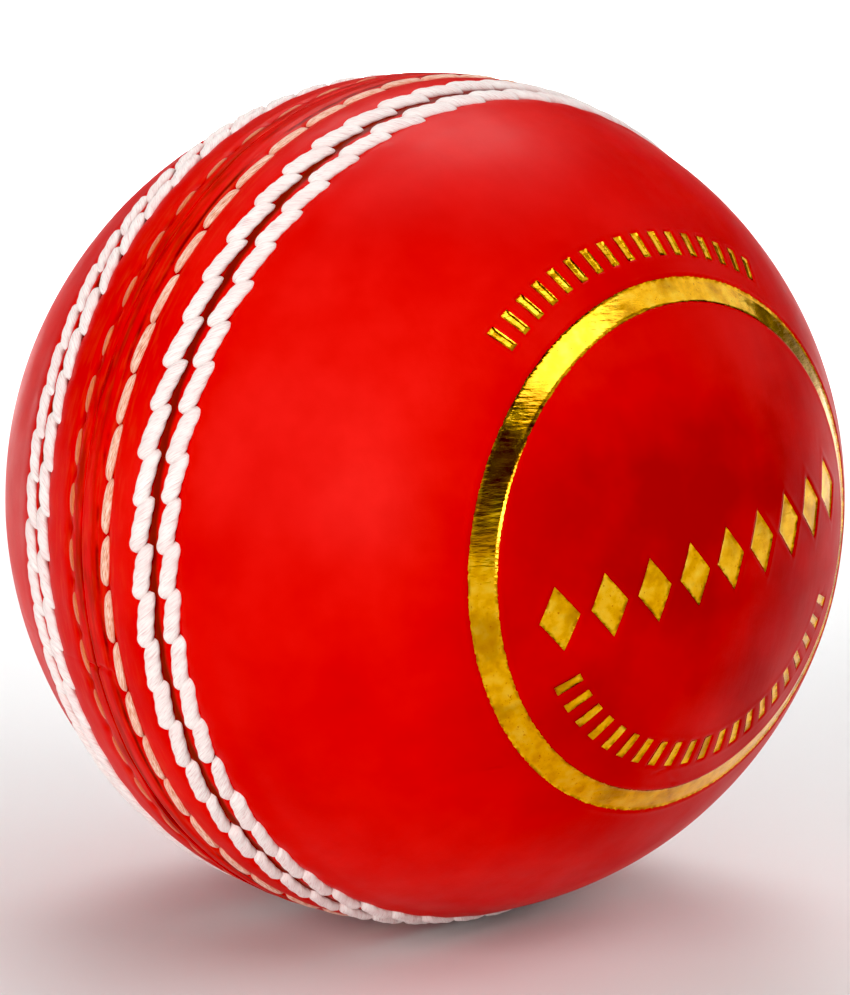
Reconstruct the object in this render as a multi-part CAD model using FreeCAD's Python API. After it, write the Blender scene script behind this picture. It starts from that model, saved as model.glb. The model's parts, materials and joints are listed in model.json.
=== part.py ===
import FreeCAD, Part
import math
import os

# Cricket ball with a four-piece leather cover, in millimetres.
# The origin is the ball's centre and +Z is up. The plane X = 0 holds the main seam, so the X axis
# runs from the pole of the plain half (-X) to the pole of the stamped half (+X).
# A place on the ball is given by its arc from the seam plane (plus on the +X side) and by its turn
# about +X in degrees: 0 faces +Y, 90 is the top, 180 faces -Y and 270 is the bottom.

# Overall sizes
ball_radius = 36.0            # smooth leather, away from the seam
cover_thickness = 3.6         # leather, from its inner face to the smooth outer face
seam_rise = 0.45              # how far the leather stands up at the butt joint
lip_radius = 0.35             # rounded edge of the leather at the butt joint

# Clearances
butt_gap = 0.06               # between two leather edges that are stitched together
layer_gap = 0.05              # between one layer of the inside and the next
thread_clearance = 0.05       # round a thread in its groove and awl hole
foil_clearance = 0.03         # round the foil in its stamped recess

# Core and quilt: a cork nucleus, then yarn windings with cork layers between them.
# The windings share the space that the nucleus and the cork leave under the cover.
nucleus_radius = 9.0
cork_thickness = 2.0
cork_layer_count = 4

# Main seam: three thread rows on each side of the butt joint
white_thread_radius = 0.70
inner_thread_radius = 0.50
leg_radius = 0.38             # thread pulled tight in its awl hole
stitch_end_gap = 0.15         # between one stitch and the next in a row
stitch_slant = 11.0           # degrees from the row's own direction
inner_stitch_slant = 3.0
white_seat_depth = 0.65       # how deep a white thread is pressed into the leather
inner_seat_depth = 0.85
stamped_inner_row_arc = 2.65  # arc from the seam plane to the middle of the inner row
plain_inner_row_arc = 1.75    # the plain half is stitched closer to its edge
middle_row_arc = 6.50
white_row_spacing = 2.70      # from the middle row to the outer row
band_run_out = 3.3            # from the outer row to where the raised band ends
white_stitch_count = 60
inner_stitch_count = 52
outer_row_phase = 0.5         # the outer row's stitches lie between the middle row's

# Quarter seams: each half is two quarters, closed from inside and backed by a lining strip
stamped_quarter_turn = 105.0  # turn of the stamped half's quarter seam about +X
plain_quarter_turn = 15.0     # the plain half's quarter seam lies square to it
quarter_seam_clear = 5.3      # from the outer row to the lining strip and its stitches
lining_thickness = 0.7
lining_width = 12.0
quarter_thread_radius = 0.35
quarter_stitch_length = 5.0
quarter_stitch_count = 17
quarter_stitch_depth = 1.4    # from the smooth outer face to the middle of the thread
pole_tilt = 35.0              # degrees of the leather ball's own axis from the seam plane

# Stamped mark: a ring, a sloping row of lozenges and two arcs of ticks, in gold foil
stamp_depth = 0.30
foil_thickness = 0.15
ring_arc = 22.0               # arc from the +X pole to the middle of the ring
ring_width = 2.3
lozenge_count = 9
lozenge_gap = 0.8             # between one lozenge and the next
lozenge_height = 5.4
lozenge_row_clear = 2.55      # from the row's end to the ring
lozenge_row_tilt = 12.0       # degrees, rising from -Y towards +Y
tick_length = 2.4
tick_width = 0.8
tick_pitch = 1.75
outer_tick_clear = 2.05       # from the ring to the upper ticks, which are outside it
inner_tick_clear = 2.65       # from the ring to the lower ticks, which are inside it
outer_tick_turns = (62.0, 132.0)
inner_tick_turns = (212.0, 338.0)

ORIGIN = FreeCAD.Vector(0, 0, 0)
X_AXIS = FreeCAD.Vector(1, 0, 0)
Y_AXIS = FreeCAD.Vector(0, 1, 0)
Z_AXIS = FreeCAD.Vector(0, 0, 1)

cover_inner_radius = ball_radius - cover_thickness
outer_row_arc = middle_row_arc + white_row_spacing
seam_half_width = outer_row_arc + band_run_out
quarter_seam_margin = outer_row_arc + quarter_seam_clear
outer_tick_arc = ring_arc + ring_width / 2 + outer_tick_clear + tick_length / 2
inner_tick_arc = ring_arc - ring_width / 2 - inner_tick_clear - tick_length / 2
stamped_side = 1
plain_side = -1


def degrees_of(arc):
    """Angle at the ball's centre, in degrees, of an arc along the smooth leather."""
    return math.degrees(arc / ball_radius)


def surface_radius(arc):
    """Distance of the outer leather from the centre, at an arc from the seam plane."""
    run_out = max(0.0, 1.0 - arc / seam_half_width)
    return ball_radius + seam_rise * run_out


def save(node, solids):
    """Write one node, as a single solid or as a group of separate solids."""
    shape = solids[0] if len(solids) == 1 else Part.makeCompound(solids)
    if not shape.isValid():
        raise ValueError(node + " is not a valid shape")
    shape.exportStep("parts/" + node + ".step")
    print("%-28s solids %3d  volume %10.3f" % (node, len(shape.Solids), shape.Volume))


def shell(inner, outer):
    """Hollow ball between two radii."""
    return Part.makeSphere(outer).cut(Part.makeSphere(inner))


def quilt_layers():
    """Nucleus, windings and cork layers, from the middle outwards, as (name, shape)."""
    winding_count = cork_layer_count + 1
    gaps = (cork_layer_count + winding_count + 1) * layer_gap
    space = cover_inner_radius - nucleus_radius - gaps
    winding_thickness = (space - cork_layer_count * cork_thickness) / winding_count
    layers = [("cork_nucleus", Part.makeSphere(nucleus_radius))]
    reached = nucleus_radius
    for number in range(1, winding_count + 1):
        for name, thickness in (("yarn_winding", winding_thickness), ("cork_layer", cork_thickness)):
            if name == "cork_layer" and number > cork_layer_count:
                break
            inner = reached + layer_gap
            reached = inner + thickness
            layers.append(("%s_%d" % (name, number), shell(inner, reached)))
    return layers


def tilted_ball(radius):
    """Ball whose own poles lie away from the main seam, the quarter seams and the mark."""
    return Part.makeSphere(radius).rotated(ORIGIN, Y_AXIS, pole_tilt)


def seam_band(side):
    """Raised band of one half as a ring: its foot is on the smooth leather, its root inside it."""
    foot = math.radians(degrees_of(seam_half_width))
    edge = butt_gap / 2
    crown = ball_radius + seam_rise
    lip = lip_radius * (1 - math.sqrt(0.5))
    root_radius = ball_radius - cover_thickness / 3

    def point(x, y):
        return FreeCAD.Vector(side * x, y, 0)

    def polar(radius, angle):
        return point(radius * math.sin(angle), radius * math.cos(angle))

    band_foot = polar(ball_radius, foot)
    band_middle = polar(surface_radius(seam_half_width / 2), foot / 2)
    lip_start = point(edge + lip_radius, crown)
    lip_end = point(edge, crown - lip_radius)
    root = point(edge, math.sqrt(root_radius ** 2 - edge ** 2))
    edges = [
        Part.Arc(band_foot, band_middle, lip_start).toShape(),
        Part.Arc(lip_start, point(edge + lip, crown - lip), lip_end).toShape(),
        Part.LineSegment(lip_end, root).toShape(),
        Part.Arc(root, polar(root_radius, foot / 2), polar(root_radius, foot)).toShape(),
        Part.LineSegment(polar(root_radius, foot), band_foot).toShape(),
    ]
    return Part.Face(Part.Wire(edges)).revolve(ORIGIN, X_AXIS, 360)


def cup(side):
    """One half of the cover before it is split, grooved or stamped."""
    leather = tilted_ball(ball_radius).cut(tilted_ball(cover_inner_radius))
    half_space = slab(side, 0.0, 3 * ball_radius, butt_gap / 2)
    return leather.common(half_space).fuse(seam_band(side)).removeSplitter()


def slab(side, turn, width, start):
    """Slab of a width square to a quarter seam's plane, from x = start outwards on one side."""
    reach = 2 * ball_radius
    low = start if side > 0 else -reach
    box = Part.makeBox(reach - start, 2 * reach, width, FreeCAD.Vector(low, -reach, -width / 2))
    return box.rotated(ORIGIN, X_AXIS, turn)


def across(turn):
    """Unit vector square to a quarter seam's plane."""
    angle = math.radians(turn)
    return FreeCAD.Vector(0, -math.sin(angle), math.cos(angle))


def capsule(radius, length):
    """Round-ended rod along Z, centred on the origin; length is between the end centres."""
    half = length / 2
    bend = radius * math.sqrt(0.5)
    low = FreeCAD.Vector(0, 0, -half - radius)
    high = FreeCAD.Vector(0, 0, half + radius)
    low_side = FreeCAD.Vector(radius, 0, -half)
    high_side = FreeCAD.Vector(radius, 0, half)
    edges = [
        Part.Arc(low, FreeCAD.Vector(bend, 0, -half - bend), low_side).toShape(),
        Part.LineSegment(low_side, high_side).toShape(),
        Part.Arc(high_side, FreeCAD.Vector(bend, 0, half + bend), high).toShape(),
        Part.LineSegment(high, low).toShape(),
    ]
    return Part.Face(Part.Wire(edges)).revolve(ORIGIN, Z_AXIS, 360)


def seam_row(side, arc, count, phase, radius, seat_depth, slant, clearance=0.0):
    """One thread row as separate stitches: each lies in a groove and goes down one awl hole.

    A clearance above zero gives the shapes that the stitches need in the leather instead.
    """
    angle = math.radians(degrees_of(arc))
    centre = surface_radius(arc) + radius - seat_depth
    pitch = 2 * math.pi * centre * math.cos(angle) / count
    length = pitch - stitch_end_gap - 2 * radius
    leg_foot = cover_inner_radius + layer_gap if clearance == 0 else cover_inner_radius - layer_gap
    leg = Part.makeCylinder(leg_radius + clearance, centre - leg_foot,
                            FreeCAD.Vector(0, 0, -length / 2), -Y_AXIS)
    stitch = capsule(radius + clearance, length).fuse(leg).Solids[0]
    stitch.rotate(ORIGIN, Y_AXIS, -side * slant)
    stitch.translate(FreeCAD.Vector(0, centre, 0))
    stitch.rotate(ORIGIN, Z_AXIS, -side * math.degrees(angle))
    step = 360.0 / count
    return [stitch.rotated(ORIGIN, X_AXIS, (number + phase) * step) for number in range(count)]


def seam_rows(side, clearance=0.0):
    """The three rows of one side, as row name to stitches."""
    inner_row_arc = stamped_inner_row_arc if side == stamped_side else plain_inner_row_arc
    inner = (inner_stitch_count, 0.0, inner_thread_radius, inner_seat_depth, inner_stitch_slant)
    middle = (white_stitch_count, 0.0, white_thread_radius, white_seat_depth, stitch_slant)
    outer = (white_stitch_count, outer_row_phase, white_thread_radius, white_seat_depth, stitch_slant)
    return {
        "inner": seam_row(side, inner_row_arc, *inner, clearance=clearance),
        "middle": seam_row(side, middle_row_arc, *middle, clearance=clearance),
        "outer": seam_row(side, outer_row_arc, *outer, clearance=clearance),
    }


def quarter_stitches(side, turn, clearance=0.0):
    """Hidden stitches that join two quarters edge to edge, inside the leather."""
    radius = ball_radius - quarter_stitch_depth
    length = quarter_stitch_length + 2 * clearance
    normal = across(turn)
    limit = 90.0 - degrees_of(quarter_seam_margin)
    stitches = []
    for number in range(quarter_stitch_count):
        angle = math.radians(-limit + 2 * limit * number / (quarter_stitch_count - 1))
        turned = math.radians(turn)
        in_plane = FreeCAD.Vector(0, math.cos(turned), math.sin(turned)) * math.sin(angle)
        middle = (X_AXIS * (side * math.cos(angle)) + in_plane) * radius
        start = middle - normal * (length / 2)
        stitches.append(Part.makeCylinder(quarter_thread_radius + clearance, length, start, normal))
    return stitches


def lining_strip(side, turn, clearance=0.0):
    """Thin leather strip behind a quarter seam; with a clearance, the rebate that it lies in."""
    start = ball_radius * math.sin(math.radians(degrees_of(quarter_seam_margin))) - clearance
    ring = shell(cover_inner_radius - clearance, cover_inner_radius + lining_thickness + clearance)
    return ring.common(slab(side, turn, lining_width + 2 * clearance, start)).Solids[0]


def mark_ring(inner, outer, clearance):
    """Ring about the +X pole, between two radii of the ball."""
    half = ring_width / 2 + clearance
    near = math.radians(degrees_of(ring_arc - half))
    far = math.radians(degrees_of(ring_arc + half))

    def corner(radius, angle):
        return FreeCAD.Vector(radius * math.cos(angle), radius * math.sin(angle), 0)

    middle = (near + far) / 2
    edges = [
        Part.Arc(corner(outer, near), corner(outer, middle), corner(outer, far)).toShape(),
        Part.LineSegment(corner(outer, far), corner(inner, far)).toShape(),
        Part.Arc(corner(inner, far), corner(inner, middle), corner(inner, near)).toShape(),
        Part.LineSegment(corner(inner, near), corner(outer, near)).toShape(),
    ]
    return [Part.Face(Part.Wire(edges)).revolve(ORIGIN, X_AXIS, 360)]


def mark_lozenges(inner, outer, clearance):
    """Row of lozenges through the +X pole, between two radii of the ball."""
    ring_reach = ball_radius * math.sin(math.radians(degrees_of(ring_arc - ring_width / 2)))
    row_half = ring_reach - lozenge_row_clear
    pitch = (2 * row_half + lozenge_gap) / lozenge_count
    half_width = (pitch - lozenge_gap) / 2 + clearance
    half_height = lozenge_height / 2 + clearance
    layer = shell(inner, outer)
    start = ball_radius / 2
    lozenges = []
    for number in range(lozenge_count):
        middle = (number - (lozenge_count - 1) / 2) * pitch
        corners = [(middle - half_width, 0), (middle, -half_height), (middle + half_width, 0),
                   (middle, half_height), (middle - half_width, 0)]
        outline = Part.makePolygon([FreeCAD.Vector(start, y, z) for y, z in corners])
        prism = Part.Face(outline).extrude(FreeCAD.Vector(ball_radius, 0, 0))
        lozenges += layer.common(prism.rotated(ORIGIN, X_AXIS, lozenge_row_tilt)).Solids
    return lozenges


def mark_ticks(inner, outer, clearance):
    """Short bars that point at the +X pole, in an upper and a lower arc."""
    layer = shell(inner, outer)
    length = tick_length + 2 * clearance
    width = tick_width + 2 * clearance
    ticks = []
    for arc, turns in ((outer_tick_arc, outer_tick_turns), (inner_tick_arc, inner_tick_turns)):
        away = degrees_of(arc)
        circle_radius = ball_radius * math.sin(math.radians(away))
        count = int(math.radians(turns[1] - turns[0]) * circle_radius / tick_pitch)
        for number in range(count + 1):
            corner = FreeCAD.Vector(ball_radius / 2, -length / 2, -width / 2)
            bar = Part.makeBox(ball_radius, length, width, corner)
            bar.rotate(ORIGIN, Z_AXIS, away)
            bar.rotate(ORIGIN, X_AXIS, turns[0] + (turns[1] - turns[0]) * number / count)
            ticks += layer.common(bar).Solids
    return ticks


def mark_pieces(inner, outer, clearance=0.0):
    """All foil pieces of the stamped mark, as name to solids."""
    return {
        "foil_ring": mark_ring(inner, outer, clearance),
        "foil_lozenges": mark_lozenges(inner, outer, clearance),
        "foil_ticks": mark_ticks(inner, outer, clearance),
    }


def cover_quarters(side, turn):
    """The two leather quarters of one half, with every groove, hole, rebate and recess cut."""
    half = cup(side).cut(slab(side, turn, butt_gap, -ball_radius))
    cutters = [lining_strip(side, turn, layer_gap)]
    cutters += quarter_stitches(side, turn, thread_clearance)
    for stitches in seam_rows(side, thread_clearance).values():
        cutters += stitches
    if side == stamped_side:
        recess_floor = ball_radius - stamp_depth
        for solids in mark_pieces(recess_floor, ball_radius + stamp_depth, foil_clearance).values():
            cutters += solids
    normal = across(turn)
    reach = quarter_stitch_length
    quarters = []
    for sign in (1, -1):
        piece = [solid for solid in half.Solids if solid.CenterOfMass.dot(normal) * sign > 0][0]
        box = piece.BoundBox
        near = [cutter for cutter in cutters if box.intersect(cutter.BoundBox)
                and cutter.BoundBox.Center.dot(normal) * sign > -reach]
        solids = piece.cut(near).Solids
        quarters.append(max(solids, key=lambda solid: solid.Volume))
    return quarters


os.makedirs("parts", exist_ok=True)

for layer_name, layer_shape in quilt_layers():
    save(layer_name, layer_shape.Solids)

halves = (
    ("stamped", stamped_side, stamped_quarter_turn, ("front", "rear")),
    ("plain", plain_side, plain_quarter_turn, ("upper", "lower")),
)
for half_name, half_side, half_turn, quarter_names in halves:
    for quarter_name, quarter in zip(quarter_names, cover_quarters(half_side, half_turn)):
        save("%s_half_%s_quarter" % (half_name, quarter_name), [quarter])
    save(half_name + "_half_lining_strip", [lining_strip(half_side, half_turn)])
    save(half_name + "_half_quarter_thread", quarter_stitches(half_side, half_turn))
    for row_name, row_stitches in seam_rows(half_side).items():
        save("%s_side_%s_thread" % (half_name, row_name), row_stitches)

foil_floor = ball_radius - stamp_depth + foil_clearance
for mark_name, mark_solids in mark_pieces(foil_floor, foil_floor + foil_thickness).items():
    save(mark_name, mark_solids)
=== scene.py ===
"""Looks of the cricket ball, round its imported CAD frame.

Shapes are worked out in millimetres in the frame's own axes and turned into metres when a mesh is
made. The ball's centre is the origin, the main seam lies in the plane X = 0, and a place on the
ball is an arc from that plane and a turn about +X: 0 faces +Y, 90 degrees is the top and 180 faces -Y.
"""

import json
import math

import bpy
import numpy as np
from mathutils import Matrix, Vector


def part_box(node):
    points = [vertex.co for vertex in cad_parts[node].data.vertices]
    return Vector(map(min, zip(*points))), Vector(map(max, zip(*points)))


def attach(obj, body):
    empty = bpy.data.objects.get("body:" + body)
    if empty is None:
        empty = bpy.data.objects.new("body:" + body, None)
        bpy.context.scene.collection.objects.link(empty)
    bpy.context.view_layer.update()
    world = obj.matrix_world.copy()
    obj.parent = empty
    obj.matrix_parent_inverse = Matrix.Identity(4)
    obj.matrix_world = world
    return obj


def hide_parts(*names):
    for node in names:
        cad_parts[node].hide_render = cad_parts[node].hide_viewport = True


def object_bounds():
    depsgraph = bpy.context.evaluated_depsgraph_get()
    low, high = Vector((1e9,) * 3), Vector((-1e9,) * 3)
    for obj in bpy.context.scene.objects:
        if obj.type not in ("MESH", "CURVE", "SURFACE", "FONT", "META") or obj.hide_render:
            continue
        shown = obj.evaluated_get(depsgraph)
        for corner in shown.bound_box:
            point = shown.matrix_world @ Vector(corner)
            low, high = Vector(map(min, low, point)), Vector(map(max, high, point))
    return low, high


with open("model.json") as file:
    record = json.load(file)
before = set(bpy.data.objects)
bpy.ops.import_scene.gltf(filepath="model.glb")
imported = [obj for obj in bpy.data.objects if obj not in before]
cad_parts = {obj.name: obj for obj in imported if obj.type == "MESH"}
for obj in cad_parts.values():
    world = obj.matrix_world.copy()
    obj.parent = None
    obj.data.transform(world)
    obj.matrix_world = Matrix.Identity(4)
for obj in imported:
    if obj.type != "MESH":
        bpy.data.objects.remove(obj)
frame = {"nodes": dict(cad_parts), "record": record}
cad_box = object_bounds()

MM = 0.001

# Sizes of the frame, in millimetres
ball_radius = round(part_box("stamped_half_front_quarter")[1].x / MM, 1)
seam_rise = round(cad_box[1].z / MM, 2) - ball_radius
cover_inner_radius = round(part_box("yarn_winding_5")[1].x / MM + 0.05, 2)
lining_outer_radius = cover_inner_radius + 0.8
lining_half_width = 6.1
lining_seam_margin = 14.3
lining_room = 0.4
band_half_width = 12.5
pole_arc = math.pi / 2 * ball_radius

# Grids of a leather quarter: columns over its half turn, rows of its inner face
QUARTER_COLUMNS = 480
INNER_FACE_ROWS = 60
OFF_BAND_ARC = 30.0  # seam_arc of the inner face, too far from the seam for its colours

# Butt joint: arc over which the leather follows its wander and its opening, and its gap on the inner face
WAVER_REACH = 2.6
OPENING_REACH = 0.9
INNER_JOINT_GAP = 0.015

# Thread rows of each side: stitches round the ball, arc from the seam plane, place of the first stitch
WHITE_COUNT = 60
INNER_COUNT = 52
ROW_ARCS = {
    ("stamped", "inner"): 2.65, ("stamped", "middle"): 6.5, ("stamped", "outer"): 9.2,
    ("plain", "inner"): 1.75, ("plain", "middle"): 6.5, ("plain", "outer"): 9.2,
}
ROW_COUNTS = {"inner": INNER_COUNT, "middle": WHITE_COUNT, "outer": WHITE_COUNT}
ROW_PHASES = {
    ("stamped", "inner"): 0.10, ("stamped", "middle"): 0.20, ("stamped", "outer"): 0.11,
    ("plain", "inner"): 0.10, ("plain", "middle"): 0.85, ("plain", "outer"): 0.20,
}
SIDES = {"stamped": 1, "plain": -1}
QUARTER_TURNS = {"stamped": 105.0, "plain": 15.0}
QUARTER_SEAM_DEPTH = {"stamped": 0.0, "plain": 0.05}

# Leather by the threads: depth and width of the channel of a row, and depth of its awl holes
ROW_RELIEF = {"inner": (0.20, 0.62, 0.16), "middle": (0.30, 0.80, 0.25), "outer": (0.28, 0.80, 0.25)}
BAND_SWELLS = (  # height (minus for a hollow), arc from the seam plane, width
    (0.05, 4.6, 0.9), (0.05, 11.0, 1.1), (-0.14, 7.70, 0.45), (0.03, 1.2, 0.6),
)
STAMPED_CREASE = (0.09, 1.72, 0.14)  # depth, arc, width

# Stitches: grid of each one, strands of the thread, how blunt the ends are at the larger turn and smaller
STITCH_STEPS = 30
STITCH_SIDES = 18
STRANDS = 3
FAR_END_POWER = 5.0
NEAR_END_POWER = 3.2

# Stamped mark
RING_ARC = 22.0
RING_WIDTH = 2.3
LOZENGE_COUNT = 9
LOZENGE_PITCH = 3.9
LOZENGE_SIZE = (3.1, 5.4)
LOZENGE_TILT = math.radians(12.0)
TICK_SIZE = (2.4, 0.8)
TICK_ARCS = ((26.4, 62.0, 132.0, 16), (17.0, 212.0, 338.0, 20))
STAMP_DEPTH = 0.16
STAMP_RIM = 0.035
FOIL_LIFT = 0.03
FOIL_THICKNESS = 0.05
FOIL_MARGIN = 0.03
OUTSIDE_MARK = -9.0  # distance inside the mark where there is none


# ---------------------------------------------------------------- numbers over the ball

def on_ball(arc, turn, radius):
    """Point at a signed arc from the seam plane (plus towards +X), a turn and a radius."""
    angle = arc / ball_radius
    return np.stack([radius * np.sin(angle), radius * np.cos(angle) * np.cos(turn),
                     radius * np.cos(angle) * np.sin(turn)], -1)


def smooth_noise(points, cell, seed):
    """Value noise from -1 to 1 over 3-D points, with one random value to each cell corner."""
    lattice = np.random.default_rng(seed).random((32, 32, 32))
    place = points / cell
    low = np.floor(place).astype(int)
    part = place - low
    part = part * part * (3 - 2 * part)
    total = np.zeros(points.shape[:-1])
    for dx in (0, 1):
        for dy in (0, 1):
            for dz in (0, 1):
                weight = np.abs(1 - dx - part[..., 0]) * np.abs(1 - dy - part[..., 1])
                weight = weight * np.abs(1 - dz - part[..., 2])
                index = (low + (dx, dy, dz)) % 32
                total += weight * lattice[index[..., 0], index[..., 1], index[..., 2]]
    return total * 2 - 1


def turn_noise(turn, waves, seed):
    """Noise from -1 to 1 along the turn that closes on itself; waves is its detail round the ball."""
    ring = np.stack([np.cos(turn), np.sin(turn), np.zeros_like(turn)], -1)
    return smooth_noise(ring * waves / (2 * math.pi), 1.0, seed)


def step_between(low, high, value):
    part = np.clip((value - low) / (high - low), 0, 1)
    return part * part * (3 - 2 * part)


def bump_at(value, width):
    return np.exp(-(value / width) ** 2)


def turn_gap(turn, place):
    """Signed difference of two turns in radians, from -pi to pi."""
    return (turn - place + math.pi) % (2 * math.pi) - math.pi


# ---------------------------------------------------------------- shape of the leather

def band_height(arc):
    """Raised band of the seam, above the smooth leather: partly rounded, partly straight."""
    rounded, straight = 0.35, 0.65
    part = arc / band_half_width
    return seam_rise * (1 - rounded * step_between(0, 1, part) - straight * np.clip(part, 0, 1))


def joint_waver(turn):
    """How far the butt joint wanders sideways."""
    return 0.22 * turn_noise(turn, 14, 11) + 0.08 * turn_noise(turn, 60, 12) - 0.25


def joint_opening(turn):
    """Half width of the gap at the butt joint: mostly closed, with one open split near the bottom."""
    split = step_between(math.radians(208), math.radians(222), turn)
    split = split * (1 - step_between(math.radians(238), math.radians(254), turn))
    return 0.008 + split * (0.26 + 0.12 * turn_noise(turn, 90, 13))


def stitch_place(turn, side_name, row):
    """Place within a stitch of a row: 0 at its middle, from -0.5 to 0.5, and the pitch in mm."""
    count = ROW_COUNTS[row]
    place = turn / (2 * math.pi) * count - ROW_PHASES[side_name, row]
    pitch = 2 * math.pi * ball_radius * math.cos(ROW_ARCS[side_name, row] / ball_radius) / count
    return place - np.round(place), pitch


def seam_relief(arc, turn, side_name):
    """Channels, dimples and puckers that the threads pull into the leather; arc is from the seam."""
    height = np.zeros_like(arc)
    for row, (depth, width, hole) in ROW_RELIEF.items():
        place, pitch = stitch_place(turn, side_name, row)
        away = arc - ROW_ARCS[side_name, row]
        to_hole = (0.5 - np.abs(place)) * pitch
        height -= depth * bump_at(away, width)
        height -= hole * bump_at(away, 0.50) * bump_at(to_hole, 0.50)
        pucker = np.cos(2 * math.pi * place)
        height += depth * pucker * (0.12 * bump_at(away - 1.2, 0.55) + 0.10 * bump_at(away + 1.15, 0.5))
    for swell, place, width in BAND_SWELLS:
        height += swell * bump_at(arc - place, width)
    if side_name == "stamped":
        depth, place, width = STAMPED_CREASE
        height -= depth * bump_at(arc - place, width)
    return height


def joint_relief(arc, turn):
    """Rounded lip of the leather at the butt joint, and a crease that crosses it."""
    lip = 0.14
    inside = np.clip(1 - arc / lip, 0, 1)
    drop = lip * (1 - np.sqrt(np.clip(1 - inside ** 2, 0, 1)))
    crease = turn_gap(turn, math.radians(195.4)) * ball_radius + 0.25 * np.sin(arc * 2.0)
    crease_depth = 0.16 * bump_at(crease, 0.14) * (1 - step_between(1.6, 2.3, arc))
    return -drop - 0.06 * bump_at(arc, 0.9) - crease_depth


DENTS = (  # arc from the seam plane, turn in degrees, length, width, depth, direction in degrees
    (31.0, 222.0, 1.5, 0.30, 0.07, 60), (27.5, 216.0, 0.9, 0.25, 0.05, 120),
    (38.0, 262.0, 1.8, 0.35, 0.09, 20), (36.4, 268.0, 1.2, 0.25, 0.06, 150),
    (22.0, 205.0, 0.7, 0.20, 0.04, 10), (25.5, 160.0, 0.6, 0.22, 0.04, 80),
    (-30.0, 130.0, 2.2, 0.30, 0.08, 40), (-41.0, 220.0, 1.4, 0.45, 0.08, 100),
    (-24.0, 300.0, 2.6, 0.30, 0.07, 170), (-36.0, 40.0, 1.1, 0.40, 0.07, 30),
    (30.0, 20.0, 1.6, 0.28, 0.06, 75), (40.0, 340.0, 0.9, 0.30, 0.06, 140),
)


def dent_relief(signed_arc, turn):
    """Small dents in the smooth leather."""
    height = np.zeros_like(signed_arc)
    for arc, place, length, width, depth, direction in DENTS:
        across = turn_gap(turn, math.radians(place)) * ball_radius * math.cos(arc / ball_radius)
        along = signed_arc - arc
        way = math.radians(direction)
        run = across * math.cos(way) + along * math.sin(way)
        off = along * math.cos(way) - across * math.sin(way) + 0.08 * run ** 2
        height -= depth * bump_at(run, length / 2) * bump_at(off, width / 2)
        height += 0.35 * depth * bump_at(run, length / 2) * bump_at(off - width * 0.75, width / 3)
    return height


# ---------------------------------------------------------------- stamped mark

def ring_inside(points):
    """Distance inside the edge of the ring, in mm; below zero is outside."""
    away = np.arctan2(np.hypot(points[..., 1], points[..., 2]), points[..., 0]) * ball_radius
    return RING_WIDTH / 2 - np.abs(away - RING_ARC)


def lozenge_inside(points):
    """Distance inside the edge of the nearest lozenge, in mm."""
    y = points[..., 1] * math.cos(LOZENGE_TILT) + points[..., 2] * math.sin(LOZENGE_TILT)
    z = points[..., 2] * math.cos(LOZENGE_TILT) - points[..., 1] * math.sin(LOZENGE_TILT)
    last = (LOZENGE_COUNT - 1) / 2
    nearest = np.clip(np.round(y / LOZENGE_PITCH), -last, last) * LOZENGE_PITCH
    half_width, half_height = LOZENGE_SIZE[0] / 2, LOZENGE_SIZE[1] / 2
    slope = math.hypot(1 / half_width, 1 / half_height)
    return (1 - np.abs(y - nearest) / half_width - np.abs(z) / half_height) / slope


def tick_inside(points):
    """Distance inside the edge of the nearest tick, in mm."""
    away = np.arctan2(np.hypot(points[..., 1], points[..., 2]), points[..., 0]) * ball_radius
    turn = np.arctan2(points[..., 2], points[..., 1]) % (2 * math.pi)
    best = np.full(away.shape, OUTSIDE_MARK)
    for arc, first, last, count in TICK_ARCS:
        step = math.radians(last - first) / count
        number = np.clip(np.round((turn - math.radians(first)) / step), 0, count)
        aside = turn_gap(turn, math.radians(first) + number * step)
        aside = aside * ball_radius * math.sin(arc / ball_radius)
        inside = np.minimum(TICK_SIZE[0] / 2 - np.abs(away - arc), TICK_SIZE[1] / 2 - np.abs(aside))
        best = np.maximum(best, inside)
    return best


def mark_inside(points):
    """Distance inside the edge of the whole mark, in mm; the plain half has none."""
    inside = np.maximum(ring_inside(points), np.maximum(lozenge_inside(points), tick_inside(points)))
    return np.where(points[..., 0] > 0, inside, OUTSIDE_MARK)


def mark_relief(points):
    """Recess that the hot stamp leaves, with a slightly raised rim."""
    inside = mark_inside(points)
    return -STAMP_DEPTH * step_between(-0.12, 0.10, inside) + STAMP_RIM * bump_at(inside + 0.32, 0.22)


def smooth_relief(points):
    """Slow unevenness of the pressed leather."""
    return 0.055 * smooth_noise(points, 11.0, 21) + 0.016 * smooth_noise(points, 4.2, 22)


def across(side_name):
    """Unit vector square to the plane of a half's quarter seam."""
    turn = math.radians(QUARTER_TURNS[side_name])
    return np.array([0, -math.sin(turn), math.cos(turn)])


def leather_height(arc, turn, side_name):
    """Height above the smooth ball at an arc from the seam (0 or more) on one side."""
    side = SIDES[side_name]
    points = on_ball(side * arc, turn, ball_radius)
    height = band_height(arc) + seam_relief(arc, turn, side_name) + joint_relief(arc, turn)
    height += smooth_relief(points) * step_between(2, 12, arc) + dent_relief(side * arc, turn)
    closed = 0.55 + 0.45 * smooth_noise(points, 5.0, 23)
    height -= QUARTER_SEAM_DEPTH[side_name] * closed * bump_at(points @ across(side_name), 0.15)
    if side_name == "stamped":
        height += mark_relief(points)
    return height


# ---------------------------------------------------------------- meshes

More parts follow.
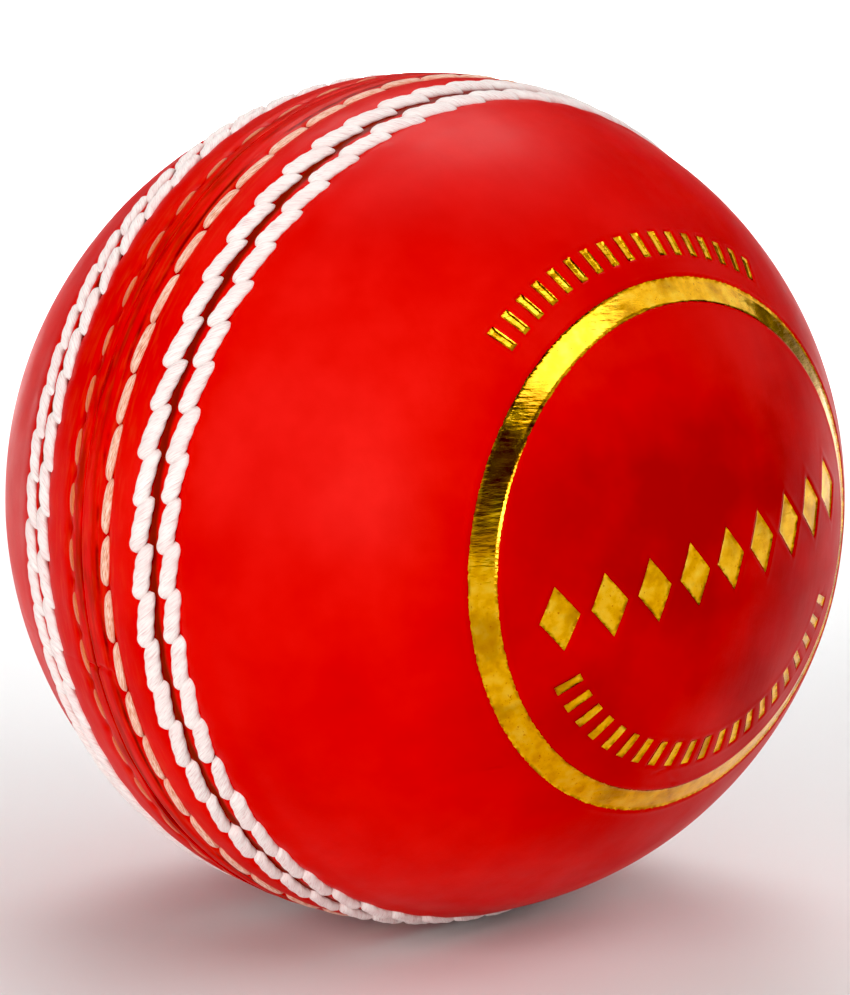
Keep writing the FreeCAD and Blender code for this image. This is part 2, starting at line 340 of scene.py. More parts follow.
def build_mesh(name, vertices, faces, smooth, floats=None, vectors=None):
    """Object from vertices in mm and a list of (faces of one size, smooth) arrays, with attributes."""
    loops = np.concatenate([block.ravel() for block in faces]).astype(np.int32)
    sizes = np.concatenate([np.full(len(block), block.shape[1]) for block in faces])
    starts = np.concatenate([[0], np.cumsum(sizes)[:-1]]).astype(np.int32)
    flags = np.concatenate([np.full(len(block), kind) for block, kind in zip(faces, smooth)])
    mesh = bpy.data.meshes.new(name)
    mesh.vertices.add(len(vertices))
    mesh.vertices.foreach_set("co", (vertices * MM).astype(np.float32).ravel())
    mesh.loops.add(len(loops))
    mesh.loops.foreach_set("vertex_index", loops)
    mesh.polygons.add(len(sizes))
    mesh.polygons.foreach_set("loop_start", starts)
    mesh.update(calc_edges=True)
    mesh.polygons.foreach_set("use_smooth", flags.astype(bool))
    edge_of_loop = np.empty(len(loops), np.int32)
    mesh.loops.foreach_get("edge_index", edge_of_loop)
    smooth_loop = np.repeat(flags.astype(bool), sizes)
    beside_smooth = np.bincount(edge_of_loop, smooth_loop, len(mesh.edges)) > 0
    beside_flat = np.bincount(edge_of_loop, ~smooth_loop, len(mesh.edges)) > 0
    sharp = mesh.attributes.new("sharp_edge", "BOOLEAN", "EDGE").data
    sharp.foreach_set("value", beside_smooth & beside_flat)
    for key, values in (floats or {}).items():
        mesh.attributes.new(key, "FLOAT", "POINT").data.foreach_set("value", values.astype(np.float32))
    for key, values in (vectors or {}).items():
        data = mesh.attributes.new(key, "FLOAT_VECTOR", "POINT").data
        data.foreach_set("vector", values.astype(np.float32).ravel())
    mesh.update()
    made = bpy.data.objects.new(name, mesh)
    bpy.context.scene.collection.objects.link(made)
    return made


def finish_piece(made, slot, material, *nodes):
    """Give a piece its material and body, in place of its CAD nodes; the slot is not used."""
    made.data.materials.append(material)
    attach(made, "root")
    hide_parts(*nodes)


def row_arcs(side_name):
    """Arcs from the seam at which a cover quarter has a row of vertices."""
    lip = [0, 0.03, 0.08, 0.15, 0.24, 0.34, 0.46]
    fine_from, fine_to, fine_step = 0.62, band_half_width, 0.2
    plain_step = 0.34 if side_name == "stamped" else 0.45
    mark_from = 28.0 if side_name == "stamped" else pole_arc
    arcs = lip + list(np.arange(fine_from, fine_to, fine_step))
    arcs += list(np.arange(fine_to, mark_from, plain_step))
    arcs += list(np.arange(mark_from, pole_arc - 0.1, fine_step))
    return np.array([arc for arc in arcs if arc < pole_arc - 0.15])


def grid_rows(arcs, first_count):
    """Columns of each row: they halve each time the circle has shrunk to half."""
    fewest = 8
    counts = []
    count = first_count
    for arc in arcs:
        shrunk = math.cos(arc / ball_radius)
        while shrunk < 0.5 * count / first_count and count > fewest and count % 2 == 0:
            count //= 2
        counts.append(count)
    return counts


def grid_faces(counts, pole_index):
    """Faces between neighbouring rows, then a fan to the pole, as lists by face size."""
    starts = np.concatenate([[0], np.cumsum(np.array(counts) + 1)])
    by_size = {3: [], 4: [], 5: []}
    for number in range(len(counts) - 1):
        low, high, count = starts[number], starts[number + 1], counts[number + 1]
        column = np.arange(count)
        if counts[number] == count:
            block = [low + column, low + column + 1, high + column + 1, high + column]
        else:
            twice = low + 2 * column
            block = [twice, twice + 1, twice + 2, high + column + 1, high + column]
        by_size[len(block)].append(np.stack(block, -1))
    last = starts[len(counts) - 1] + np.arange(counts[-1])
    by_size[3].append(np.stack([last, last + 1, np.full(counts[-1], pole_index)], -1))
    return {size: np.concatenate(blocks) for size, blocks in by_size.items() if blocks}, starts


def grid_places(arcs, counts, first_turn):
    """Arc and turn of each vertex of a quarter's grid, row by row, with the pole last."""
    arc = np.concatenate([np.full(count + 1, value) for value, count in zip(arcs, counts)] + [[pole_arc]])
    turn = np.concatenate([np.linspace(0, math.pi, count + 1) for count in counts] + [[math.pi / 2]])
    return arc, (turn + math.radians(first_turn)) % (2 * math.pi)


def outer_face(side_name, arc, turn, height):
    """Vertices of a quarter's outer face, with the butt joint's wander and opening."""
    side = SIDES[side_name]
    waver = joint_waver(turn) * bump_at(arc, WAVER_REACH)
    opening = side * joint_opening(turn) * bump_at(arc, OPENING_REACH)
    return on_ball(side * arc + waver + opening, turn, ball_radius + height)


def inner_face(side_name, arc, turn):
    """Vertices of a quarter's inner face, which is hollowed over the lining strip."""
    side = SIDES[side_name]
    from_seam = np.abs(on_ball(side * arc, turn, cover_inner_radius) @ across(side_name))
    over_lining = (from_seam < lining_half_width + lining_room) & (arc > lining_seam_margin)
    radius = np.where(over_lining, lining_outer_radius, cover_inner_radius)
    waver = joint_waver(turn) * bump_at(arc, WAVER_REACH)
    return on_ball(side * arc + waver + side * INNER_JOINT_GAP, turn, radius)


def cover_quarter(name, side_name, first_turn):
    """One leather quarter as a closed shell: outer face, inner face, seam edge and quarter-seam face."""
    arcs = row_arcs(side_name)
    counts = grid_rows(arcs, QUARTER_COLUMNS)
    arc, turn = grid_places(arcs, counts, first_turn)
    height = leather_height(arc, turn, side_name)
    outer = outer_face(side_name, arc, turn, height)
    outer_faces, outer_starts = grid_faces(counts, len(outer) - 1)

    inner_arcs = np.linspace(0, pole_arc, INNER_FACE_ROWS)[:-1]
    inner_counts = grid_rows(inner_arcs, QUARTER_COLUMNS)
    inner = inner_face(side_name, *grid_places(inner_arcs, inner_counts, first_turn))
    inner_faces, inner_starts = grid_faces(inner_counts, len(inner) - 1)

    base = len(outer)
    column = np.arange(QUARTER_COLUMNS)
    wall = np.stack([column, base + column, base + column + 1, column + 1], -1)
    first_edge = [outer_starts[n] for n in range(len(counts))]
    last_edge = [outer_starts[n] + counts[n] for n in range(len(counts))]
    inner_first = [base + inner_starts[n] for n in range(len(inner_counts))]
    inner_last = [base + inner_starts[n] + inner_counts[n] for n in range(len(inner_counts))]
    seam_face = first_edge + [base - 1] + last_edge[::-1]
    seam_face += inner_last + [base + len(inner) - 1] + inner_first[::-1]

    blocks = [base + block[:, ::-1] for block in inner_faces.values()] + [wall, np.array([seam_face])]
    smooth = [True] * len(inner_faces) + [False, False] + [True] * len(outer_faces)
    blocks += list(outer_faces.values())
    if SIDES[side_name] < 0:
        blocks = [block[:, ::-1] for block in blocks]
    relief = np.concatenate([height - band_height(arc), np.zeros(len(inner))])
    seam_arc = np.concatenate([arc, np.full(len(inner), OFF_BAND_ARC)])
    floats = {"relief": relief, "seam_arc": seam_arc}
    made = build_mesh(name, np.concatenate([outer, inner]), blocks, smooth, floats)
    finish_piece(made, "cover_leather", leather, name)


# ---------------------------------------------------------------- threads

def stitch_template(length, slant, twist_turns, ply_depth):
    """One stitch in its own tangent axes: along the row, away from the seam, and its cross-sections."""
    run = np.linspace(-0.5, 0.5, STITCH_STEPS)
    end = np.abs(run) * 2
    around = np.linspace(0, 2 * math.pi, STITCH_SIDES, endpoint=False)
    taper = np.sqrt(np.clip(1 - end ** np.where(run > 0, FAR_END_POWER, NEAR_END_POWER), 0, 1))
    twisted = around[None, :] - 2 * math.pi * twist_turns * run[:, None]
    lobe = np.abs(np.cos(STRANDS / 2 * twisted))
    swell = taper[:, None] * (1 - ply_depth + ply_depth * lobe)
    along = np.repeat((run * length)[:, None], STITCH_SIDES, 1)
    aside = np.repeat((-math.tan(slant) * run * length)[:, None], STITCH_SIDES, 1)
    strand = np.stack([along, twisted, np.zeros((STITCH_STEPS, STITCH_SIDES))], -1)
    return along, aside, swell, around, end, strand


def stitch_faces(start):
    """Side faces of one stitch whose vertices begin at a number, and its two end caps."""
    index = start + np.arange(STITCH_STEPS * STITCH_SIDES).reshape(STITCH_STEPS, STITCH_SIDES)
    after = np.roll(index, -1, 1)
    sides = np.stack([index[:-1], after[:-1], after[1:], index[1:]], -1).reshape(-1, 4)
    return sides, [index[0][::-1], index[-1]]


def thread_row(side_name, row, length, half_width, half_height, slant, sink, dive, seed, slot, material,
               ply_depth=0.11, spindle=0.0, hook=0.0, twist=1.15):
    """All stitches of one row as one piece.

    The ends dive into the awl holes, the one at the smaller turn more. A hook bends the two halves of
    a stitch to opposite sides, and a spindle makes its ends narrower than its middle.
    """
    side = SIDES[side_name]
    rng = np.random.default_rng(seed)
    count = ROW_COUNTS[row]
    row_arc = ROW_ARCS[side_name, row]
    vertices, strands, lows, faces, caps = [], [], [], [], []
    for number in range(count):
        jitter = rng.normal(size=6)
        along, aside, swell, around, end, strand = stitch_template(
            length * (1 + 0.035 * jitter[0]), slant * (1 + 0.10 * jitter[1]),
            twist + 0.1 * jitter[2], ply_depth)
        middle = (number + ROW_PHASES[side_name, row] + 0.02 * jitter[3]) * 2 * math.pi / count
        narrow = (1 - spindle * end ** 1.6)[:, None]
        wide = half_width * (1 + 0.05 * jitter[4]) * swell * narrow
        high = half_height * swell * narrow
        bend = np.where(along > 0, hook, 0.45 * hook)
        curve = bend * np.sin(math.pi * np.clip(along / length * 2, -1, 1))
        aside = aside + curve + np.cos(around)[None, :] * wide + 0.05 * jitter[5]
        fall = dive * np.clip((end - 0.60) / 0.40, 0, 1) ** 2 * np.where(along[:, 0] > 0, 0.5, 1.4)
        up = -sink - fall[:, None] + np.sin(around)[None, :] * high
        arc = row_arc + aside
        turn = middle + along / (ball_radius * math.cos(row_arc / ball_radius))
        base_height = band_height(np.abs(arc))
        vertices.append(on_ball(side * arc, turn, ball_radius + base_height + up).reshape(-1, 3))
        strand[..., 2] = number
        strands.append(strand.reshape(-1, 3))
        lows.append(up.ravel())
        sides, ends = stitch_faces(number * STITCH_STEPS * STITCH_SIDES)
        faces.append(sides)
        caps += ends
    blocks = [np.array(caps), np.concatenate(faces)]
    if side > 0:
        blocks = [block[:, ::-1] for block in blocks]
    name = side_name + "_side_" + row + "_thread"
    made = build_mesh(name + "_stitches", np.concatenate(vertices), blocks, [True, True],
                      {"lift": np.concatenate(lows)}, {"strand": np.concatenate(strands)})
    finish_piece(made, slot, material, name)


# ---------------------------------------------------------------- foil

def foil_patch(places, rows, columns, inside_of, seed):
    """Thin sheet over a grid of places on the ball, lying in the recess and rising at its edge."""
    grid = places.reshape(rows, columns, 3)
    points = grid / np.linalg.norm(grid, axis=-1, keepdims=True) * ball_radius
    inside = inside_of(points)
    height = -STAMP_DEPTH + FOIL_LIFT + 0.09 * (1 - step_between(0.0, 0.22, inside)) ** 2
    height = height + smooth_relief(points)
    height = height + 0.010 * smooth_noise(points, 0.9, seed) + 0.005 * smooth_noise(points, 0.35, seed + 1)
    top = points / ball_radius * (ball_radius + height)[..., None]
    bottom = points / ball_radius * (ball_radius + height - FOIL_THICKNESS)[..., None]
    return top, bottom, inside


def sheet_blocks(rows, columns, start, closed):
    """Faces of a thin sheet: top grid, bottom grid and the rim between them."""
    index = start + np.arange(rows * columns).reshape(rows, columns)
    if closed:
        index = np.concatenate([index, index[:1]], 0)
    under = index + rows * columns
    top = np.stack([index[:-1, :-1], index[1:, :-1], index[1:, 1:], index[:-1, 1:]], -1).reshape(-1, 4)
    bottom = np.stack([under[:-1, :-1], under[:-1, 1:], under[1:, 1:], under[1:, :-1]], -1).reshape(-1, 4)
    rims = [np.stack([index[:-1, 0], under[:-1, 0], under[1:, 0], index[1:, 0]], -1),
            np.stack([index[1:, -1], under[1:, -1], under[:-1, -1], index[:-1, -1]], -1)]
    if not closed:
        rims.append(np.stack([index[0, 1:], under[0, 1:], under[0, :-1], index[0, :-1]], -1))
        rims.append(np.stack([index[-1, :-1], under[-1, :-1], under[-1, 1:], index[-1, 1:]], -1))
    return [top, bottom, np.concatenate(rims)]


def foil_piece(name, patches, inside_of, closed=False):
    """Foil pieces of one kind, each given as a grid of points."""
    vertices, tops, others, edges = [], [], [], []
    start = 0
    for number, (points, rows, columns) in enumerate(patches):
        top, bottom, inside = foil_patch(points, rows, columns, inside_of, 31 + number)
        vertices += [top.reshape(-1, 3), bottom.reshape(-1, 3)]
        edges += [inside.ravel(), inside.ravel()]
        blocks = sheet_blocks(rows, columns, start, closed)
        tops.append(blocks[0])
        others += blocks[1:]
        start += 2 * rows * columns
    blocks = [np.concatenate(others), np.concatenate(tops)]
    made = build_mesh(name + "_sheet", np.concatenate(vertices), blocks, [False, True],
                      {"inside": np.concatenate(edges)})
    finish_piece(made, "gold_foil", gold_foil, name)


def polar_points(away, turn):
    """Points on the unit ball at an arc from the +X pole and a turn."""
    angle = away / ball_radius
    return np.stack([np.cos(angle), np.sin(angle) * np.cos(turn), np.sin(angle) * np.sin(turn)], -1)


def ragged(count, seed, amount):
    """Small uneven steps for the torn edge of pressed foil."""
    return np.random.default_rng(seed).normal(size=count) * amount


def ring_patch():
    """The ring as one closed band with uneven edges."""
    rows, columns = 900, 13
    turn = np.linspace(0, 2 * math.pi, rows, endpoint=False)
    part = np.linspace(-1, 1, columns)
    half = RING_WIDTH / 2 - FOIL_MARGIN + ragged(rows, 5, 0.025)
    away = RING_ARC + half[:, None] * part[None, :]
    return polar_points(away, np.repeat(turn[:, None], columns, 1)), rows, columns


def lozenge_patches():
    """The lozenges, each a grid that runs from corner to corner."""
    patches = []
    size = 17
    half_width = LOZENGE_SIZE[0] / 2 - 0.04
    half_height = LOZENGE_SIZE[1] / 2 - 0.05
    part = np.linspace(-1, 1, size)
    first, second = np.meshgrid(part, part, indexing="ij")
    for number in range(LOZENGE_COUNT):
        middle = (number - (LOZENGE_COUNT - 1) / 2) * LOZENGE_PITCH
        y = middle + (first + second) / 2 * half_width
        z = (second - first) / 2 * half_height
        turned_y = y * math.cos(LOZENGE_TILT) - z * math.sin(LOZENGE_TILT)
        turned_z = z * math.cos(LOZENGE_TILT) + y * math.sin(LOZENGE_TILT)
        x = np.sqrt(ball_radius ** 2 - turned_y ** 2 - turned_z ** 2)
        patches.append((np.stack([x, turned_y, turned_z], -1), size, size))
    return patches


def tick_patches():
    """The ticks of both arcs, each a small grid that points at the pole."""
    patches = []
    along, wide = 13, 7
    for arc, first, last, count in TICK_ARCS:
        for number in range(count + 1):
            middle = math.radians(first + (last - first) * number / count)
            away, aside = np.meshgrid(np.linspace(-1, 1, along), np.linspace(-1, 1, wide), indexing="ij")
            away = arc + away * (TICK_SIZE[0] / 2 - FOIL_MARGIN)
            circle_radius = ball_radius * math.sin(arc / ball_radius)
            turn = middle + aside * (TICK_SIZE[1] / 2 - FOIL_MARGIN) / circle_radius
            patches.append((polar_points(away, turn)[:, ::-1], along, wide))
    return patches


# ---------------------------------------------------------------- materials

class Shader:
    """Small helper that adds nodes to one material and joins them."""

    def __init__(self, name, **sockets):
        self.material = bpy.data.materials.new(name)
        self.material.use_nodes = True
        self.tree = self.material.node_tree
        self.surface = self.tree.nodes["Principled BSDF"]
        for key, value in sockets.items():
            self.surface.inputs[key.replace("_", " ")].default_value = value

    def node(self, kind, inputs=None, **settings):
        made = self.tree.nodes.new(kind)
        for key, value in settings.items():
            setattr(made, key, value)
        for key, value in (inputs or {}).items():
            if isinstance(value, bpy.types.NodeSocket):
                self.tree.links.new(value, made.inputs[key])
            else:
                made.inputs[key].default_value = value
        return made

    def link(self, output, key):
        self.tree.links.new(output, self.surface.inputs[key])

    def place(self):
        return self.node("ShaderNodeTexCoord").outputs["Object"]

    def attribute(self, name, output="Fac"):
        return self.node("ShaderNodeAttribute", attribute_name=name).outputs[output]

    def noise(self, scale, detail=3.0, vector=None):
        inputs = {"Vector": vector or self.place(), "Scale": scale, "Detail": detail}
        return self.node("ShaderNodeTexNoise", inputs).outputs["Fac"]

    def stretch(self, vector, factors):
        return self.node("ShaderNodeVectorMath", {0: vector, 1: factors}, operation="MULTIPLY").outputs[0]

    def ramp(self, value, stops):
        made = self.node("ShaderNodeValToRGB", {"Fac": value})
        elements = made.color_ramp.elements
        while len(elements) < len(stops):
            elements.new(0.5)
        for element, (position, colour) in zip(elements, stops):
            element.position = position
            element.color = (*colour, 1)
        return made.outputs["Color"]

    def number(self, value, low, high, low_to, high_to):
        inputs = {"Value": value, "From Min": low, "From Max": high, "To Min": low_to, "To Max": high_to}
        return self.node("ShaderNodeMapRange", inputs).outputs["Result"]

    def mix(self, amount, first, second):
        made = self.node("ShaderNodeMix", data_type="RGBA")
        for socket, value in ((made.inputs[0], amount), (made.inputs[6], first), (made.inputs[7], second)):
            if isinstance(value, bpy.types.NodeSocket):
                self.tree.links.new(value, socket)
            else:
                socket.default_value = value if socket is made.inputs[0] else (*value, 1)
        return made.outputs[2]

    def math(self, operation, first, second):
        return self.node("ShaderNodeMath", {0: first, 1: second}, operation=operation).outputs[0]

    def near(self, value, place, none_at, full_at, amount):
        """Mask that is full close to a place and fades out at a distance from it."""
        away = self.math("ABSOLUTE", self.math("SUBTRACT", value, place), 0.0)
        return self.number(away, none_at, full_at, 0.0, amount)

    def bump(self, height, strength, distance, normal=None):
        inputs = {"Height": height, "Strength": strength, "Distance": distance}
        if normal is not None:
            inputs["Normal"] = normal
        return self.node("ShaderNodeBump", inputs).outputs["Normal"]


def leather_colour(shader):
    """Red dye: mottled, rubbed and grimy by the seam, and handled round the mark; painted shade darkens the
    hollows, the channel between the rows and the crease, and adds to the handled patches round the mark.
    """
    red = shader.ramp(shader.noise(55, 4), [(0.30, (0.60, 0.014, 0.013)), (0.50, (0.70, 0.018, 0.016)),
                                            (0.72, (0.78, 0.024, 0.020))])
    mottle = shader.number(shader.noise(420, 5), 0.35, 0.70, 0.0, 0.22)
    red = shader.mix(mottle, red, (0.52, 0.010, 0.009))
    # Painted shade: the leather goes near black where the relief sinks into channels, dimples and creases.
    hollow_shade = shader.number(shader.attribute("relief"), -0.16, -0.62, 0.0, 0.92)
    red = shader.mix(hollow_shade, red, (0.085, 0.002, 0.002))

    seam_arc = shader.attribute("seam_arc")
    band = shader.number(seam_arc, 11.0, 13.5, 0.22, 0.0)
    red = shader.mix(band, red, (0.52, 0.008, 0.007))
    streaks = shader.noise(1.0, 5, shader.stretch(shader.place(), (3400, 420, 420)))
    rubbed = shader.math("MULTIPLY", shader.number(seam_arc, 5.6, 3.6, 0.0, 0.32),
                         shader.number(streaks, 0.50, 0.72, 0.0, 1.0))
    red = shader.mix(rubbed, red, (0.70, 0.075, 0.030))
    smears = shader.noise(1.0, 6, shader.stretch(shader.place(), (1500, 230, 230)))
    grime = shader.math("MULTIPLY", shader.number(seam_arc, 2.6, 0.3, 0.0, 1.0),
                        shader.number(smears, 0.46, 0.64, 0.0, 0.60))
    red = shader.mix(grime, red, (0.16, 0.018, 0.008))

    from_seam = shader.node("ShaderNodeSeparateXYZ", {"Vector": shader.place()}).outputs["X"]
    # Handling wear and painted shade: patchy darker leather past X = 24 mm round the mark, on the side the
    # key light barely reaches.
    handled_and_shade = shader.math("MULTIPLY", shader.number(from_seam, 0.024, 0.034, 0.0, 1.0),
                          shader.number(shader.noise(85, 5), 0.40, 0.62, 0.30, 0.85))
    red = shader.mix(handled_and_shade, red, (0.34, 0.003, 0.003))
    # Painted shade: a dark line in the hollow channel between the middle and outer rows.
    channel_shade = shader.near(seam_arc, 7.50, 0.62, 0.25, 0.90)
    red = shader.mix(channel_shade, red, (0.15, 0.018, 0.010))
    # Painted shade: a dark, broken line along the crease beside the stamped half's inner row.
    crease_shade = shader.math("MULTIPLY", shader.near(from_seam, 0.00172, 0.00026, 0.00006, 1.0),
                            shader.number(shader.noise(240, 4), 0.40, 0.55, 0.0, 0.8))
    return shader.mix(crease_shade, red, (0.10, 0.010, 0.006))


def leather_material():
    """Red dyed leather under a thin polished lacquer, with painted shade where it is pulled in."""
    shader = Shader("cover_leather", Specular_IOR_Level=0.10, Specular_Tint=(1.0, 0.22, 0.18, 1),
                    Coat_Weight=0.01, Coat_Roughness=0.20)
    shader.link(leather_colour(shader), "Base Color")
    shader.link(shader.number(shader.noise(160, 4), 0.3, 0.7, 0.34, 0.50), "Roughness")
    normal = shader.bump(shader.noise(5200, 3), 0.10, 0.00004)
    grain = shader.node("ShaderNodeTexVoronoi", {"Vector": shader.place(), "Scale": 1500},
                        feature="DISTANCE_TO_EDGE")
    normal = shader.bump(grain.outputs["Distance"], 0.05, 0.00005, normal)
    rub = shader.noise(90, 2, shader.stretch(shader.place(), (1.0, 9.0, 2.0)))
    normal = shader.bump(rub, 0.10, 0.0002, normal)
    shader.link(normal, "Normal")
    return shader.material


def thread_material(name, pale, middle, dark, stain_and_shade):
    """Waxed twisted linen: fibres follow the twist, and dye stains what touches the leather, together with
    painted shade where the stitch sinks toward it.
    """
    shader = Shader(name, Specular_IOR_Level=0.30, Sheen_Weight=0.25, Sheen_Roughness=0.5)
    strand = shader.attribute("strand", "Vector")
    fibres = shader.noise(1.0, 4, shader.stretch(strand, (1.6, 7.0, 3.7)))
    blotch = shader.noise(1.0, 2, shader.stretch(strand, (0.35, 0.25, 5.3)))
    colour = shader.ramp(fibres, [(0.28, dark), (0.46, middle), (0.66, pale)])
    colour = shader.mix(shader.number(blotch, 0.40, 0.75, 0.0, 0.22), colour, stain_and_shade)
    # Dye stain and painted shade: the stitch takes the stain colour where it sinks toward the leather, on
    # its underside and at its ends in the holes.
    low = shader.number(shader.attribute("lift"), 0.05, -0.75, 0.0, 0.85)
    colour = shader.mix(low, colour, stain_and_shade)
    shader.link(colour, "Base Color")
    shader.link(shader.number(fibres, 0.3, 0.7, 0.55, 0.80), "Roughness")
    shader.link(shader.bump(fibres, 0.55, 0.00009), "Normal")
    return shader.material


def foil_material():
    """Bright gold foil, pressed hard and slightly crinkled, thin at its edges."""
    shader = Shader("gold_foil", Metallic=1.0)
    gold = shader.ramp(shader.noise(900, 4), [(0.30, (0.76, 0.35, 0.02)), (0.50, (0.95, 0.50, 0.03)),
                                              (0.72, (1.0, 0.62, 0.06))])
    fleck = shader.number(shader.noise(3800, 2), 0.66, 0.74, 0.0, 0.7)
    gold = shader.mix(fleck, gold, (0.55, 0.10, 0.02))
    # Dark patches: partly wear, partly painted dark reflection of the room.
    worn_and_dark_reflection = shader.number(shader.noise(260, 5), 0.50, 0.64, 0.0, 0.55)
    gold = shader.mix(worn_and_dark_reflection, gold, (0.36, 0.13, 0.015))
    thin = shader.math("MULTIPLY", shader.number(shader.attribute("inside"), 0.30, 0.02, 0.0, 1.0),
                       shader.number(shader.noise(1500, 2), 0.45, 0.60, 0.0, 0.8))
    gold = shader.mix(thin, gold, (0.24, 0.02, 0.006))
    shader.link(gold, "Base Color")
    shader.link(shader.number(shader.noise(700, 3), 0.3, 0.7, 0.10, 0.24), "Roughness")
    crinkle = shader.noise(1.0, 3, shader.stretch(shader.place(), (900, 500, 2600)))
    normal = shader.bump(crinkle, 0.45, 0.00010)
    shader.link(normal, "Normal")
    return shader.material


def cork_material():
    """Ground and pressed cork in small grains."""
    shader = Shader("cork", Specular_IOR_Level=0.2)
    cells = shader.node("ShaderNodeTexVoronoi", {"Vector": shader.place(), "Scale": 900})
    colour = shader.ramp(cells.outputs["Distance"], [(0.1, (0.62, 0.40, 0.20)), (0.6, (0.42, 0.25, 0.11)),
                                                     (0.9, (0.20, 0.11, 0.05))])
    shader.link(colour, "Base Color")
    shader.link(shader.number(shader.noise(500), 0.3, 0.7, 0.75, 0.95), "Roughness")
    shader.link(shader.bump(cells.outputs["Distance"], 0.5, 0.0003), "Normal")
    return shader.material


def yarn_material(name, pale, dark):
    """Yarn wound round and round, in uneven bands."""
    shader = Shader(name, Specular_IOR_Level=0.2, Sheen_Weight=0.3)
    bands = shader.node("ShaderNodeTexWave", {"Vector": shader.place(), "Scale": 260, "Distortion": 9.0,
                                              "Detail": 3.0}, wave_type="RINGS")
    shader.link(shader.ramp(bands.outputs["Fac"], [(0.2, dark), (0.7, pale)]), "Base Color")
    shader.link(shader.number(shader.noise(700), 0.3, 0.7, 0.7, 0.95), "Roughness")
    shader.link(shader.bump(bands.outputs["Fac"], 0.6, 0.0003), "Normal")
    return shader.material


def lining_material():
    """Undyed leather with the rough side out."""
    shader = Shader("lining_leather", Specular_IOR_Level=0.25)
    colour = shader.ramp(shader.noise(350, 5), [(0.3, (0.42, 0.27, 0.17)), (0.7, (0.66, 0.48, 0.33))])
    shader.link(colour, "Base Color")
    shader.link(shader.number(shader.noise(800), 0.3, 0.7, 0.7, 0.9), "Roughness")
    shader.link(shader.bump(shader.noise(2500), 0.3, 0.0001), "Normal")
    return shader.material


THREAD_COLOURS = {  # pale, middle and dark fibres, then the stain of the leather's dye, which also serves as painted shade where a stitch sinks toward the leather
    "white_thread": ((0.96, 0.91, 0.86), (0.89, 0.79, 0.76), (0.70, 0.44, 0.42), (0.78, 0.36, 0.34)),
    "tan_thread": ((1.0, 0.78, 0.64), (0.80, 0.38, 0.24), (0.48, 0.09, 0.04), (0.66, 0.14, 0.06)),
    "dyed_thread": ((0.76, 0.26, 0.10), (0.62, 0.13, 0.035), (0.42, 0.05, 0.02), (0.50, 0.03, 0.015)),
}
leather = leather_material()
threads = {name: thread_material(name, *colours) for name, colours in THREAD_COLOURS.items()}
gold_foil = foil_material()
kept_materials = {
    "cork": cork_material(),
    "winding_yarn": yarn_material("winding_yarn", (0.72, 0.64, 0.50), (0.38, 0.31, 0.22)),
    "lining_leather": lining_material(),
    "hidden_thread": yarn_material("hidden_thread", (0.74, 0.68, 0.55), (0.48, 0.42, 0.32)),
}

# ---------------------------------------------------------------- the ball

for side_name, quarter_names in (("stamped", ("front", "rear")), ("plain", ("upper", "lower"))):
    for half_turn, quarter_name in zip((0.0, 180.0), quarter_names):
        node = side_name + "_half_" + quarter_name + "_quarter"
        cover_quarter(node, side_name, QUARTER_TURNS[side_name] + half_turn)

WHITE_SLANT = {"stamped": math.radians(14.5), "plain": math.radians(19.0)}
WHITE_HOOK = {"stamped": 0.08, "plain": 0.22}
INNER_SLANT = math.radians(4.0)
for number, side_name in enumerate(SIDES):
    for row, seed in (("middle", 41 + number), ("outer", 51 + number)):
        thread_row(side_name, row, 4.8, 0.80, 0.46, WHITE_SLANT[side_name], 0.06, 0.40, seed,
                   "white_thread", threads["white_thread"], ply_depth=0.13, hook=WHITE_HOOK[side_name])
thread_row("stamped", "inner", 4.62, 0.47, 0.26, INNER_SLANT, 0.13, 0.30, 61, "tan_thread",
           threads["tan_thread"], ply_depth=0.08, spindle=0.12, twist=0.2)
thread_row("plain", "inner", 3.10, 0.38, 0.24, INNER_SLANT, 0.20, 0.15, 62, "tan_thread",
           threads["dyed_thread"], ply_depth=0.08, spindle=0.35, twist=0.2)

foil_piece("foil_ring", [ring_patch()], ring_inside, closed=True)
foil_piece("foil_lozenges", lozenge_patches(), lozenge_inside)
foil_piece("foil_ticks", tick_patches(), tick_inside)

slots = {entry["node"]: entry["material_slot"] for entry in frame["record"]["subparts"]}
for node, placed in frame["nodes"].items():
    if slots[node] in kept_materials:
        placed.data.materials.clear()
        placed.data.materials.append(kept_materials[slots[node]])

# ---------------------------------------------------------------- studio

floor_height = cad_box[0].z
CAMERA_AZIMUTH = math.radians(48.0)
CAMERA_ELEVATION = math.radians(10.3)
CAMERA_DISTANCE = 8.0 * ball_radius * MM


def towards(azimuth, elevation):
    """Unit vector from the ball; azimuth 0 is towards -Y and grows towards +X."""
    level = math.cos(elevation)
    return Vector((math.sin(azimuth) * level, -math.cos(azimuth) * level, math.sin(elevation)))


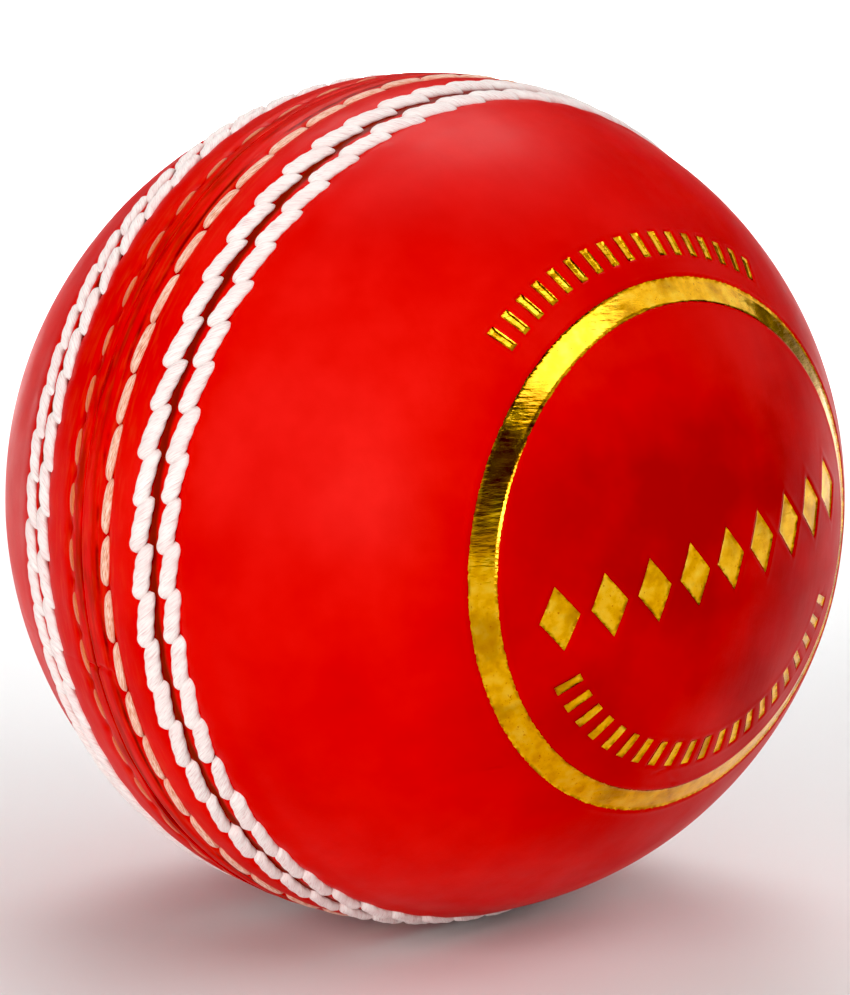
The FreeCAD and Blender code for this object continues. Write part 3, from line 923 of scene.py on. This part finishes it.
def studio_bowl():
    """Pale floor that curves up into a round wall."""
    flat, bend, top = 1.6, 0.7, 2.2
    profile = [(0.15, 0.0), (0.6, 0.0)]
    for angle in np.linspace(0, math.pi / 2, 12):
        profile.append((flat + bend * math.sin(angle), bend * (1 - math.cos(angle))))
    profile.append((flat + bend, top))
    columns = 96
    turn = np.linspace(0, 2 * math.pi, columns, endpoint=False)
    rings = []
    for radius, rise in profile:
        level = np.full(columns, floor_height + rise)
        rings.append(np.stack([radius * np.cos(turn), radius * np.sin(turn), level], -1))
    vertices = np.concatenate(rings + [np.array([[0, 0, floor_height]])]) / MM
    index = np.arange(len(rings) * columns).reshape(len(rings), columns)
    after = np.roll(index, -1, 1)
    quads = np.stack([index[:-1], index[1:], after[1:], after[:-1]], -1).reshape(-1, 4)
    fan = np.stack([np.full(columns, len(vertices) - 1), index[0], after[0]], -1)
    bowl = build_mesh("studio_floor", vertices, [quads, fan], [True, True])
    shader = Shader("studio_floor", Specular_IOR_Level=0.1)
    paint = shader.ramp(shader.noise(3), [(0.3, (0.84, 0.84, 0.84)), (0.7, (0.86, 0.86, 0.86))])
    height = shader.node("ShaderNodeSeparateXYZ", {"Vector": shader.place()}).outputs["Z"]
    paint = shader.mix(shader.number(height, 0.08, 0.45, 0.0, 1.0), paint, (0.17, 0.17, 0.17))
    shader.link(paint, "Base Color")
    shader.surface.inputs["Roughness"].default_value = 0.9
    bowl.data.materials.append(shader.material)


def area_light(name, azimuth, elevation, distance, size, power):
    """Round soft light that faces the ball, from a direction in degrees."""
    data = bpy.data.lights.new(name, "AREA")
    data.shape = "DISK"
    data.size = size
    data.energy = power
    made = bpy.data.objects.new(name, data)
    bpy.context.scene.collection.objects.link(made)
    way = towards(math.radians(azimuth), math.radians(elevation))
    made.location = way * distance
    made.rotation_euler = way.to_track_quat("Z", "Y").to_euler()
    return made


LIGHTS = (  # name, azimuth, elevation, distance, diameter, power
    ("key", 13, 12, 1.3, 1.4, 14.5),
    ("fill", 34, 5, 1.2, 0.6, 3.8),
    ("top", 330, 84, 1.6, 2.4, 7),
    ("side", 100, 42, 1.2, 0.8, 4),
    ("far_side", 152, 30, 1.2, 1.1, 2.6),
)
studio_bowl()
for light in LIGHTS:
    area_light(*light)

# The floor light hangs behind the ball and faces straight down
floor_light = area_light("floor", 228, 42, 1.5, 1.2, 22)
floor_light.rotation_euler = (0, 0, 0)
floor_light.data.spread = math.radians(90.0)

world = bpy.data.worlds.new("studio")
world.use_nodes = True
world.node_tree.nodes["Background"].inputs["Color"].default_value = (1, 1, 1, 1)
world.node_tree.nodes["Background"].inputs["Strength"].default_value = 0.15
bpy.context.scene.world = world

camera_data = bpy.data.cameras.new("camera")
camera_data.sensor_width = 36.0
camera_data.lens = 120.6
camera = bpy.data.objects.new("camera", camera_data)
bpy.context.scene.collection.objects.link(camera)
view_way = towards(CAMERA_AZIMUTH, CAMERA_ELEVATION)
camera.location = view_way * CAMERA_DISTANCE
camera.rotation_euler = view_way.to_track_quat("Z", "Y").to_euler()
camera_data.clip_start = 0.01
bpy.context.scene.camera = camera
settings = bpy.context.scene.view_settings
settings.view_transform = "Standard"
settings.use_curve_mapping = True
settings.curve_mapping.black_level = (0.02, 0.02, 0.02)
settings.curve_mapping.update()
